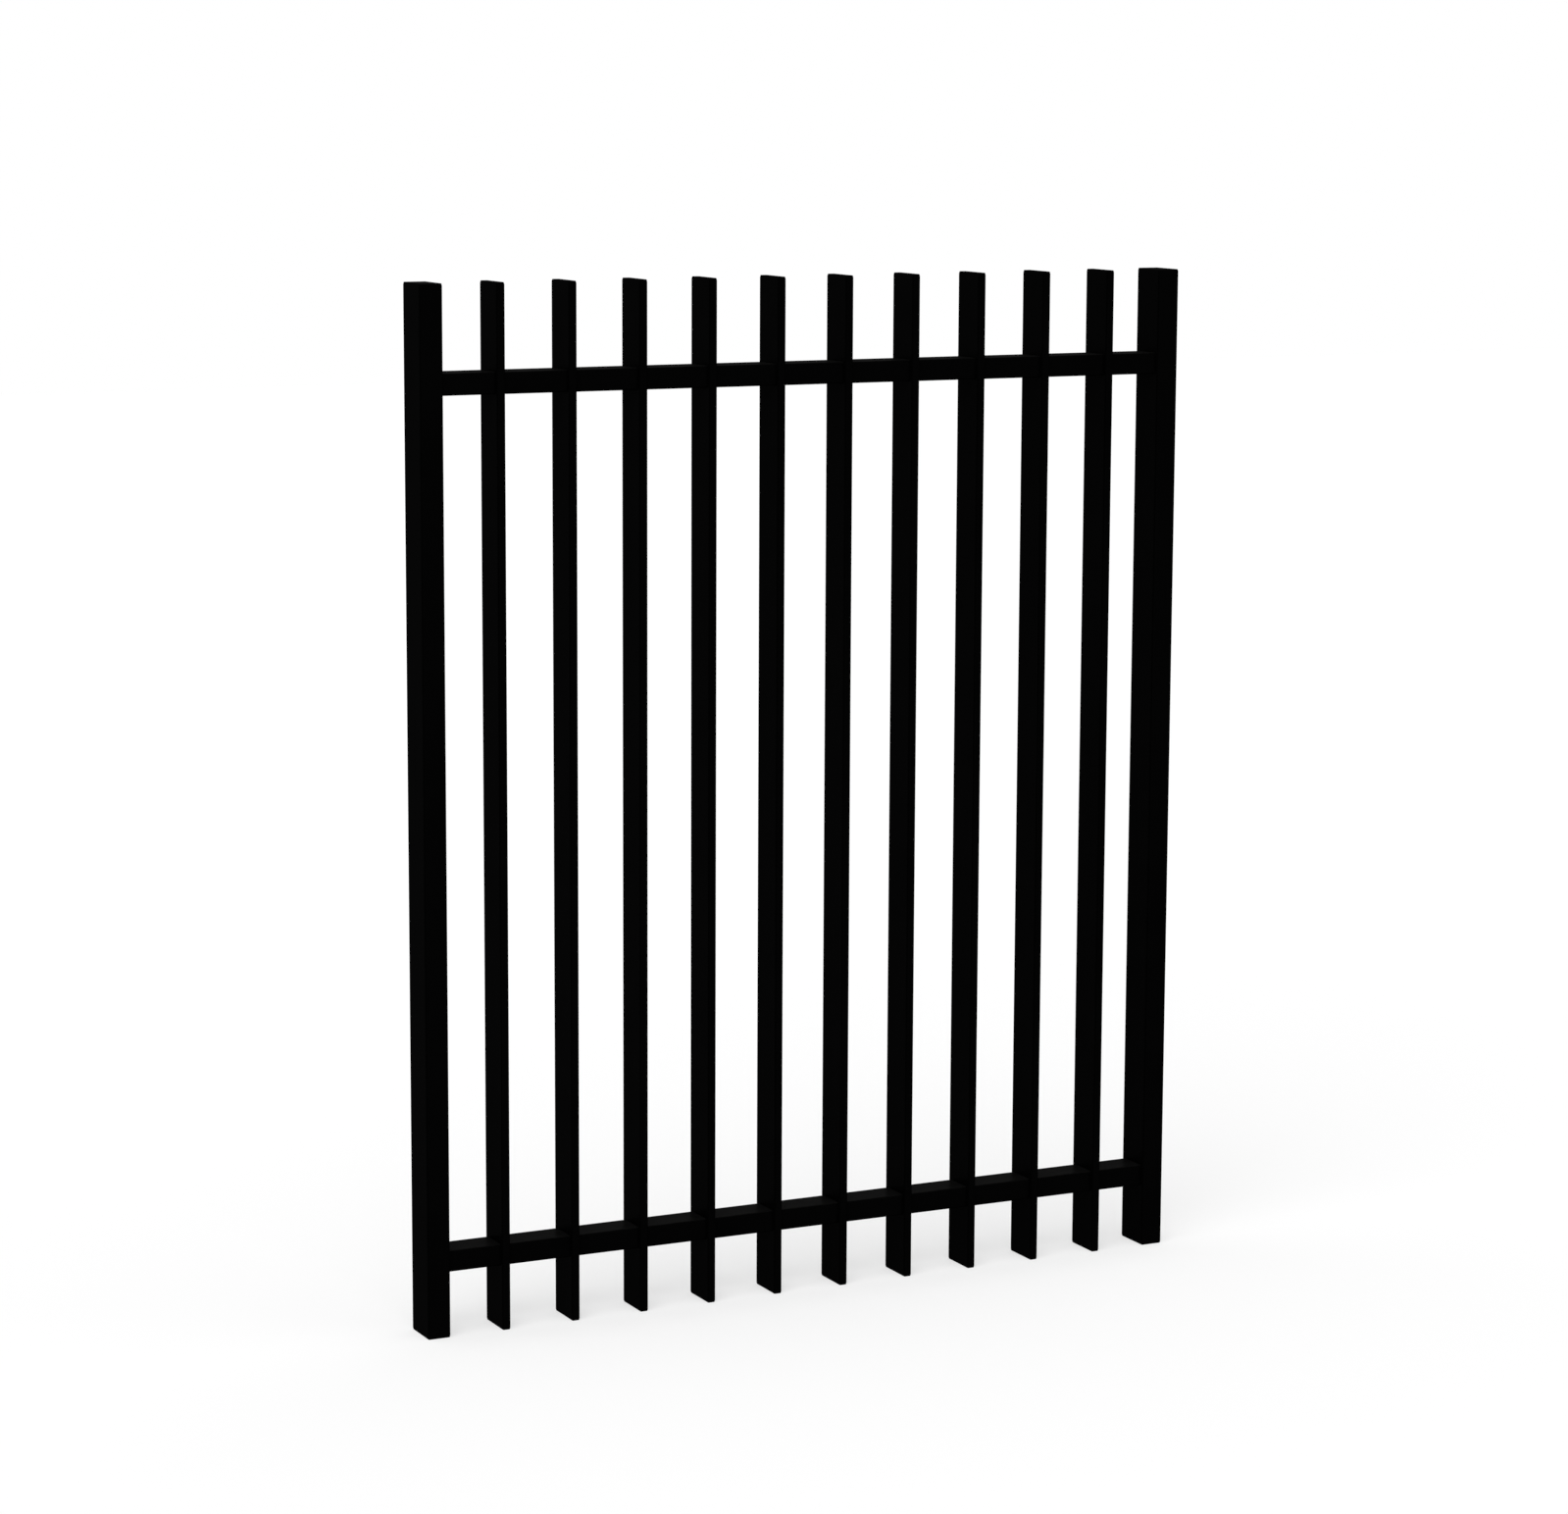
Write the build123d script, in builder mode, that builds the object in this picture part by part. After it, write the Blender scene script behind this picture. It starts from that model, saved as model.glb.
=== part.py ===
from build123d import *
from math import sqrt
import os

os.makedirs("parts", exist_ok=True)

# A gate leaf of aluminium tubes: two stiles, two rails, and upright slats punched through for the rails.
# X runs along the leaf from the hanging stile, Y into its depth and Z up.
# The origin is on the hanging stile's outer face, at mid depth, level with the tubes' lower cut ends.

# Driving dimensions of the leaf, in millimetres
leaf_width = 972.7
leaf_height = 1200.0  # over the end caps
leaf_depth = 50.0  # of the stiles and the slats alike
rail_foot = 75.6  # from the foot of the leaf to the lower rail's underside
rail_head = 99.4  # from the upper rail's top to the head of the leaf
slat_count = 10  # spread evenly between the two end gaps
hanging_gap = 64.3  # clear width from the hanging stile to the first slat
closing_gap = 61.3  # clear width from the last slat to the closing stile

# Tube sections
stile_width = 27.5
stile_wall = 2.0
slat_thickness = 10.0
slat_wall = 1.2
rail_height = 25.0
rail_setback = 5.0  # of a rail's face behind the slats' faces
rail_wall = 1.6
arris_radius = 2.0  # on the outside corners of every tube
window_clearance = 0.25  # all round a rail where it passes through a slat

# Push-in end caps: a flange on the tube's cut end, and a hollow plug whose fin grips the bore
cap_flange = 2.0
cap_inset = 0.4  # of the flange's edge behind the tube's faces
cap_chamfer = 0.6
plug_length = 12.0
plug_wall = 1.2
plug_clearance = 0.5  # between the plug and the bore
fin_slope = 45.0  # degrees, of the fin's two flanks, which run on into the plug's wall
fin_clearance = 0.1  # between the fin's edge and the bore

# Sizes and places that follow
tube_length = leaf_height - 2 * cap_flange
rail_depth = leaf_depth - 2 * rail_setback
rail_length = leaf_width - 2 * stile_width
first_slat = stile_width + hanging_gap + slat_thickness / 2
last_slat = leaf_width - stile_width - closing_gap - slat_thickness / 2
slat_pitch = (last_slat - first_slat) / (slat_count - 1)
lower_rail_centre = rail_foot - cap_flange + rail_height / 2
upper_rail_centre = leaf_height - cap_flange - rail_head - rail_height / 2
# The window's cut corners touch a circle that clears the rail's round arris
window_chamfer = (arris_radius + window_clearance) * (2 - sqrt(2))


def tube_section(width, depth, wall):
    """Draw a rectangular tube's section, round on its outside corners, in the open sketch."""
    RectangleRounded(width, depth, arris_radius)
    Rectangle(width - 2 * wall, depth - 2 * wall, mode=Mode.SUBTRACT)


def save(piece, label):
    piece.label = label
    export_step(piece, f"parts/{label}.step")


def make_stile(label, centre):
    """Make a full-height tube at one side of the leaf."""
    with BuildPart() as stile:
        with BuildSketch(Plane((centre, 0, 0))):
            tube_section(stile_width, leaf_depth, stile_wall)
        extrude(amount=tube_length)
    save(stile.part, label)


def make_rail(label, height):
    """Make a level tube whose cut ends butt against the inner faces of both stiles."""
    with BuildPart() as rail:
        with BuildSketch(Plane.YZ.offset(stile_width)):
            with Locations((0, height)):
                tube_section(rail_depth, rail_height, rail_wall)
        extrude(amount=rail_length)
    save(rail.part, label)


def make_slat(label, centre):
    """Make an upright flat tube with a window through both its sides for each rail."""
    with BuildPart() as slat:
        with BuildSketch(Plane((centre, 0, 0))):
            tube_section(slat_thickness, leaf_depth, slat_wall)
        extrude(amount=tube_length)
        with BuildSketch(Plane.YZ.offset(centre)) as windows:
            with Locations((0, lower_rail_centre), (0, upper_rail_centre)):
                Rectangle(rail_depth + 2 * window_clearance, rail_height + 2 * window_clearance)
            chamfer(windows.vertices(), length=window_chamfer)
        extrude(amount=slat_thickness, both=True, mode=Mode.SUBTRACT)
    save(slat.part, label)


def make_cap(label, seat, width, wall):
    """Make a push-in cap on the plane of a tube's cut end, which faces out of the tube."""
    bore_width = width - 2 * wall
    bore_depth = leaf_depth - 2 * wall
    hollow_width = bore_width - 2 * (plug_clearance + plug_wall)
    hollow_depth = bore_depth - 2 * (plug_clearance + plug_wall)
    with BuildPart() as cap:
        with BuildSketch(seat):
            RectangleRounded(width - 2 * cap_inset, leaf_depth - 2 * cap_inset, arris_radius - cap_inset)
        extrude(amount=cap_flange)
        outer_face = cap.faces().sort_by(Axis(seat.origin, seat.z_dir))[-1]
        chamfer(outer_face.edges(), length=cap_chamfer)
        with BuildSketch(seat):
            Rectangle(bore_width - 2 * plug_clearance, bore_depth - 2 * plug_clearance)
        extrude(amount=-plug_length)
        with BuildSketch(seat.offset(-plug_length / 2)):
            Rectangle(bore_width - 2 * fin_clearance, bore_depth - 2 * fin_clearance)
        extrude(amount=plug_clearance, both=True, taper=fin_slope)
        with BuildSketch(seat):
            Rectangle(hollow_width, hollow_depth)
        extrude(amount=-plug_length, mode=Mode.SUBTRACT)
    save(cap.part, label)


def cap_both_ends(name, centre, width, wall):
    foot = Plane((centre, 0, 0), x_dir=(1, 0, 0), z_dir=(0, 0, -1))
    head = Plane((centre, 0, tube_length))
    make_cap(f"{name}_bottom_cap", foot, width, wall)
    make_cap(f"{name}_top_cap", head, width, wall)


# Stiles
for name, centre in (
    ("hanging_stile", stile_width / 2),
    ("closing_stile", leaf_width - stile_width / 2),
):
    make_stile(name, centre)
    cap_both_ends(name, centre, stile_width, stile_wall)

# Rails
make_rail("lower_rail", lower_rail_centre)
make_rail("upper_rail", upper_rail_centre)

# Slats
for number in range(slat_count):
    name = f"slat_{number + 1:02d}"
    centre = first_slat + number * slat_pitch
    make_slat(name, centre)
    cap_both_ends(name, centre, slat_thickness, slat_wall)
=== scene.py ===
import math

import bpy
import numpy as np
from mathutils import Euler, Matrix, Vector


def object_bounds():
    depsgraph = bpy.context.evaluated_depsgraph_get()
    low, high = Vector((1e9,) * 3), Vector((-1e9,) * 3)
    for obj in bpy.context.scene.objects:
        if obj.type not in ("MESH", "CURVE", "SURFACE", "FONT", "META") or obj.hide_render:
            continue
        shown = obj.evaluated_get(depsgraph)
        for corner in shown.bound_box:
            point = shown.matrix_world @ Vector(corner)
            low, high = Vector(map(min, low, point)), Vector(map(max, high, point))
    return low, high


# The gate leaf is already whole: its tubes and end caps keep their shapes and get their finish here.
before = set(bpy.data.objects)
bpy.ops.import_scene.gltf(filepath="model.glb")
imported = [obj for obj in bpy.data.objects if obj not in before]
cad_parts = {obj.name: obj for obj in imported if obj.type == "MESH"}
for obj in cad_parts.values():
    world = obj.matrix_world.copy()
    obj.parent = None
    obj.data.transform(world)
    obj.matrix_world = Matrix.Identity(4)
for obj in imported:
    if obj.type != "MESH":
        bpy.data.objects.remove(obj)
cad_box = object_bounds()

# The camera, found from the edges of the leaf in the photograph
PHOTO_WIDTH = 1599  # pixels
FOCAL_LENGTH = 4426.0  # pixels
SENSOR_WIDTH = 36.0  # millimetres
CAMERA_PLACE = (-1.7567, -4.4948, 1.4363)  # metres
CAMERA_TURN = 26.266  # degrees to the right of straight at the leaf
CAMERA_DIP = 9.052  # degrees below level
CAMERA_ROLL = 0.252  # degrees, which lifts its right side

# Light on the object, where 1 shows a white face at full white
AMBIENT = 0.35
TOP_LIGHT = 0.45
KEY_LIGHT = 0.50
WHITE = (1.0, 1.0, 1.0, 1.0)

# The floor's own reflection, and the rest of its white, which only the eye and mirrors see
FLOOR_COLOUR = 0.40
FLOOR_GLOW = 0.55
FLOOR_REACH = 14.0  # metres from the leaf's middle to each side
FLOOR_POINTS = 9  # along each side

# Values that the finishes share
MILLIMETRES = 1000.0  # in a metre
NOISE_LOW, NOISE_HIGH = 0.3, 0.7  # the span that noise mostly fills
CLEAR_COAT_ROUGHNESS = 0.35
CLEAR_COAT_IOR = 1.5
MIX_FIRST, MIX_SECOND, MIX_RESULT = 6, 7, 2  # the colour sockets of a Mix node


def add(tree, kind, inputs=None, **properties):
    """Add a node, set its properties, and give each input a value or a link from another node's output."""
    node = tree.nodes.new(kind)
    for name, value in properties.items():
        setattr(node, name, value)
    for socket, value in (inputs or {}).items():
        if isinstance(value, bpy.types.NodeSocket):
            tree.links.new(value, node.inputs[socket])
        else:
            node.inputs[socket].default_value = value
    return node


def calculate(tree, operation, first, second):
    """Return the output of a Math node."""
    return add(tree, "ShaderNodeMath", {0: first, 1: second}, operation=operation).outputs[0]


def noise(tree, place, size, detail):
    """Return noise whose cells are size millimetres across."""
    scale = calculate(tree, "DIVIDE", MILLIMETRES, size)
    return add(tree, "ShaderNodeTexNoise", {"Vector": place, "Scale": scale, "Detail": detail}).outputs[0]


def blend_value(tree, share, first, second):
    """Return the output of a node that goes from the first value to the second as share goes from 0 to 1."""
    return add(
        tree, "ShaderNodeMapRange", {"Value": share, "To Min": first, "To Max": second}
    ).outputs[0]


def blend_colour(tree, share, first, second):
    """Return the output of a node that goes from the first colour to the second as share goes from 0 to 1."""
    mix = add(tree, "ShaderNodeMix", {0: share}, data_type="RGBA")
    for socket, colour in ((MIX_FIRST, first), (MIX_SECOND, second)):
        if isinstance(colour, bpy.types.NodeSocket):
            tree.links.new(colour, mix.inputs[socket])
        else:
            mix.inputs[socket].default_value = (*colour, 1.0)
    return mix.outputs[MIX_RESULT]


def smooth_step(tree, value, start, end):
    """Return a mask that goes smoothly from 0 to 1 as value goes from start to end."""
    return add(
        tree,
        "ShaderNodeMapRange",
        {"Value": value, "From Min": start, "From Max": end},
        interpolation_type="SMOOTHSTEP",
    ).outputs[0]


def new_group(name, inputs, outputs):
    """Start a node group whose sockets are all plain values.

    Return its tree, the sockets that it is given and the sockets that hold its result.
    """
    tree = bpy.data.node_groups.new(name, "ShaderNodeTree")
    for socket, value in inputs.items():
        made = tree.interface.new_socket(socket, in_out="INPUT", socket_type="NodeSocketFloat")
        made.default_value = value
    for socket in outputs:
        tree.interface.new_socket(socket, in_out="OUTPUT", socket_type="NodeSocketFloat")
    return tree, tree.nodes.new("NodeGroupInput").outputs, tree.nodes.new("NodeGroupOutput").inputs


def surface_grain_group():
    """Dimples is fine noise for the bump, and Tone is broad noise spread to run from 0 to 1.

    Sizes are in millimetres.
    """
    tree, given, result = new_group(
        "surface_grain", {"Dimple Size": 1.5, "Patch Size": 60.0}, ["Dimples", "Tone"]
    )
    place = add(tree, "ShaderNodeTexCoord").outputs["Object"]
    dimples = noise(tree, place, given["Dimple Size"], detail=1.0)
    patches = noise(tree, place, given["Patch Size"], detail=4.0)
    tone = add(
        tree, "ShaderNodeMapRange", {"Value": patches, "From Min": NOISE_LOW, "From Max": NOISE_HIGH}
    )
    tree.links.new(dimples, result["Dimples"])
    tree.links.new(tone.outputs[0], result["Tone"])
    return tree


def rounded_arris_group():
    """A mask of the rounded or chamfered edges between faces that lie square to the axes.

    On a square face one part of the normal is 1; on an edge the largest part falls towards 0.7.
    """
    tree, given, result = new_group("rounded_arris", {"Square": 0.99, "Diagonal": 0.80}, ["Arris"])
    normal = add(tree, "ShaderNodeTexCoord").outputs["Normal"]
    size = add(tree, "ShaderNodeVectorMath", {0: normal}, operation="ABSOLUTE")
    part = add(tree, "ShaderNodeSeparateXYZ", {0: size.outputs[0]}).outputs
    level = calculate(tree, "MAXIMUM", part["X"], part["Y"])
    largest = calculate(tree, "MAXIMUM", level, part["Z"])
    tree.links.new(smooth_step(tree, largest, given["Square"], given["Diagonal"]), result["Arris"])
    return tree


def painted_top_light_group():
    """Level is a mask of the faces that look up, from the upward part of the normal.

    Painted Top Light is painted light that pales the colour of those faces, as if lit from above; noise
    weakens it here and there.
    """
    tree, given, result = new_group(
        "painted_top_light_nodes",
        {"Steep": 0.5, "Flat": 0.95, "Painted Share": 0.8, "Weakest": 0.6, "Patch Size": 14.0},
        ["Level", "Painted Top Light"],
    )
    coordinates = add(tree, "ShaderNodeTexCoord").outputs
    upward = add(tree, "ShaderNodeSeparateXYZ", {0: coordinates["Normal"]}).outputs["Z"]
    level = smooth_step(tree, upward, given["Steep"], given["Flat"])
    patches = noise(tree, coordinates["Object"], given["Patch Size"], detail=5.0)
    painted_strength = add(
        tree,
        "ShaderNodeMapRange",
        {"Value": patches, "From Min": NOISE_LOW, "From Max": NOISE_HIGH, "To Min": given["Weakest"]},
    )
    # Painted light: the upward faces get a paler colour, as if lit from above.
    painted_top_light = calculate(tree, "MULTIPLY", level, painted_strength.outputs[0])
    tree.links.new(level, result["Level"])
    tree.links.new(calculate(tree, "MULTIPLY", painted_top_light, given["Painted Share"]), result["Painted Top Light"])
    return tree


GRAIN = surface_grain_group()
ARRIS = rounded_arris_group()
PAINTED_TOP_LIGHT = painted_top_light_group()


def new_material(name):
    """Start a material with no nodes; return it and its tree."""
    material = bpy.data.materials.new(name)
    material.use_nodes = True
    material.node_tree.nodes.clear()
    return material, material.node_tree


def black_finish(name, tones, sheens, dimple_size, dimple_depth, patch_size, painted_top_light_share):
    """Make a black finish whose tone drifts from dark to pale, with painted shade darkening the arrises and
    painted light paling the top.

    Sizes are in millimetres. A sheen is the share of a full clear coat's gloss that a face keeps; a level
    face, where the coat flowed out smoother, keeps the most.
    """
    material, tree = new_material(name)
    grain = add(
        tree,
        "ShaderNodeGroup",
        {"Dimple Size": dimple_size, "Patch Size": patch_size},
        node_tree=GRAIN,
    ).outputs
    arris = add(tree, "ShaderNodeGroup", node_tree=ARRIS).outputs["Arris"]
    top = add(tree, "ShaderNodeGroup", {"Painted Share": painted_top_light_share}, node_tree=PAINTED_TOP_LIGHT).outputs
    face_colour = blend_colour(tree, grain["Tone"], tones["dark"], tones["pale"])
    # Painted shade: the arrises get a darker colour and a lower sheen, as shade along the rounded edges.
    colour_before_top_light = blend_colour(tree, arris, face_colour, tones["arris"])
    upright_sheen = blend_value(tree, arris, sheens["upright"], sheens["arris"])
    bump = add(
        tree,
        "ShaderNodeBump",
        {"Height": grain["Dimples"], "Distance": dimple_depth / MILLIMETRES, "Strength": 1.0},
    )
    shader = add(
        tree,
        "ShaderNodeBsdfPrincipled",
        {
            # Painted top light: a paler colour on the upward faces, as if lit from above.
            "Base Color": blend_colour(tree, top["Painted Top Light"], colour_before_top_light, tones["painted_top_light"]),
            "Specular IOR Level": 0.0,  # the clear coat has all the gloss
            "Coat Weight": blend_value(tree, top["Level"], upright_sheen, sheens["level"]),
            "Coat Roughness": CLEAR_COAT_ROUGHNESS,
            "Coat IOR": CLEAR_COAT_IOR,
            "Normal": bump.outputs[0],
        },
    )
    add(tree, "ShaderNodeOutputMaterial", {"Surface": shader.outputs[0]})
    return material


def stoved_coat(name, patch_size):
    """Make the tubes' black stoved coat, with patches of tone of the given size."""
    return black_finish(
        name,
        tones={
            "dark": (0.0006, 0.0006, 0.0006),
            "pale": (0.0010, 0.0010, 0.0010),
            # painted shade: the darker colour of the rounded edges
            "arris": (0.0005, 0.0005, 0.0005),
            # painted top light: the paler colour of the upward faces
            "painted_top_light": (0.0045, 0.0044, 0.0043),
        },
        sheens={"upright": 0.012, "arris": 0.0072, "level": 0.022},
        dimple_size=1.6,
        dimple_depth=0.03,
        patch_size=patch_size,
        painted_top_light_share=0.9,
    )


def moulded_plastic(name):
    """Make the end caps' black plastic, finer in grain and duller than the coat."""
    return black_finish(
        name,
        tones={
            "dark": (0.0010, 0.0010, 0.0010),
            "pale": (0.0016, 0.0016, 0.0016),
            # painted shade: the darker colour of the rounded edges
            "arris": (0.0008, 0.0008, 0.0008),
            # painted top light: the paler colour of the upward faces
            "painted_top_light": (0.0060, 0.0059, 0.0058),
        },
        sheens={"upright": 0.008, "arris": 0.0048, "level": 0.012},
        dimple_size=0.5,
        dimple_depth=0.02,
        patch_size=12.0,
        painted_top_light_share=0.7,
    )


def finish_the_leaf():
    """Give each tube the coat of its kind, and each end cap the plastic, by the ending of its name."""
    finishes = {
        "_stile": stoved_coat("stile_coat", patch_size=90.0),
        "_rail": stoved_coat("rail_coat", patch_size=70.0),
        "_cap": moulded_plastic("cap_plastic"),
    }
    slat_coat = stoved_coat("slat_coat", patch_size=55.0)
    for name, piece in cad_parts.items():
        matches = [finish for ending, finish in finishes.items() if name.endswith(ending)]
        for slot in piece.material_slots:
            slot.material = matches[0] if matches else slat_coat


def seen_ray(tree):
    """Return an output that is 1 for rays from the camera, from mirrors and through glass, and else 0."""
    path = add(tree, "ShaderNodeLightPath").outputs
    eye_or_mirror = calculate(tree, "MAXIMUM", path["Is Camera Ray"], path["Is Glossy Ray"])
    return calculate(tree, "MAXIMUM", eye_or_mirror, path["Is Transmission Ray"])


def floor_material():
    """Make a pale floor that takes the shadow, topped up to white for what sees it."""
    material, tree = new_material("studio_floor")
    strength = calculate(tree, "MULTIPLY", seen_ray(tree), FLOOR_GLOW)
    matt = add(tree, "ShaderNodeBsdfDiffuse", {"Color": (FLOOR_COLOUR, FLOOR_COLOUR, FLOOR_COLOUR, 1.0)})
    glow = add(tree, "ShaderNodeEmission", {"Color": WHITE, "Strength": strength})
    both = add(tree, "ShaderNodeAddShader", {0: matt.outputs[0], 1: glow.outputs[0]})
    add(tree, "ShaderNodeOutputMaterial", {"Surface": both.outputs[0]})
    return material


def grid_surface(name, points):
    """Make a mesh from an array of points by rows and columns, with a quad between each four neighbours."""
    rows, columns = points.shape[:2]
    number = np.arange(rows * columns).reshape(rows, columns)
    quads = np.stack(
        (number[:-1, :-1], number[:-1, 1:], number[1:, 1:], number[1:, :-1]), axis=-1
    ).reshape(-1, 4)
    mesh = bpy.data.meshes.new(name)
    mesh.from_pydata(points.reshape(-1, 3).tolist(), [], quads.tolist())
    surface = bpy.data.objects.new(name, mesh)
    bpy.context.scene.collection.objects.link(surface)
    return surface


def lay_floor():
    """Lay a level square under the leaf: both parameters run straight from side to side about its middle."""
    lowest, highest = cad_box
    middle = (lowest + highest) / 2
    steps = FLOOR_REACH * np.linspace(-1, 1, FLOOR_POINTS)
    across, along = np.meshgrid(middle.x + steps, middle.y + steps)
    floor = grid_surface("studio_floor", np.stack((across, along, np.full_like(across, lowest.z)), axis=-1))
    floor.data.materials.append(floor_material())


def hang_light(name, level, turn, tilt, spread):
    """Hang a soft far light that gives level to a face square to it.

    It comes from the leaf's front, turned to the left by turn and tilted down from overhead by tilt degrees,
    and it looks spread degrees wide.
    """
    lamp = bpy.data.lights.new(name, "SUN")
    lamp.energy = level * math.pi
    lamp.angle = math.radians(spread)
    light = bpy.data.objects.new(name, lamp)
    light.rotation_euler = Euler((math.radians(tilt), 0, math.radians(-turn)), "XYZ")
    bpy.context.scene.collection.objects.link(light)


def light_the_studio():
    """Surround the leaf with even light that shows white, and hang a light overhead and one at the left."""
    world = bpy.data.worlds.new("studio")
    bpy.context.scene.world = world
    world.use_nodes = True
    tree = world.node_tree
    tree.nodes.clear()
    strength = blend_value(tree, seen_ray(tree), AMBIENT, 1.0)
    surround = add(tree, "ShaderNodeBackground", {"Color": WHITE, "Strength": strength})
    add(tree, "ShaderNodeOutputWorld", {"Surface": surround.outputs[0]})
    hang_light("top_light", TOP_LIGHT, turn=0, tilt=0, spread=80)
    hang_light("key_light", KEY_LIGHT, turn=40, tilt=45, spread=60)


def place_camera():
    """Set the camera where the photograph was taken from."""
    lens = bpy.data.cameras.new("photo_camera")
    lens.sensor_fit = "HORIZONTAL"
    lens.sensor_width = SENSOR_WIDTH
    lens.lens = FOCAL_LENGTH * SENSOR_WIDTH / PHOTO_WIDTH
    camera = bpy.data.objects.new("photo_camera", lens)
    turn = Matrix.Rotation(math.radians(-CAMERA_TURN), 4, "Z")
    dip = Matrix.Rotation(math.radians(90 - CAMERA_DIP), 4, "X")
    roll = Matrix.Rotation(math.radians(CAMERA_ROLL), 4, "Z")
    camera.matrix_world = Matrix.Translation(CAMERA_PLACE) @ turn @ dip @ roll
    bpy.context.scene.collection.objects.link(camera)
    bpy.context.scene.camera = camera


place_camera()
finish_the_leaf()
lay_floor()
light_the_studio()
bpy.context.scene.view_settings.view_transform = "Standard"
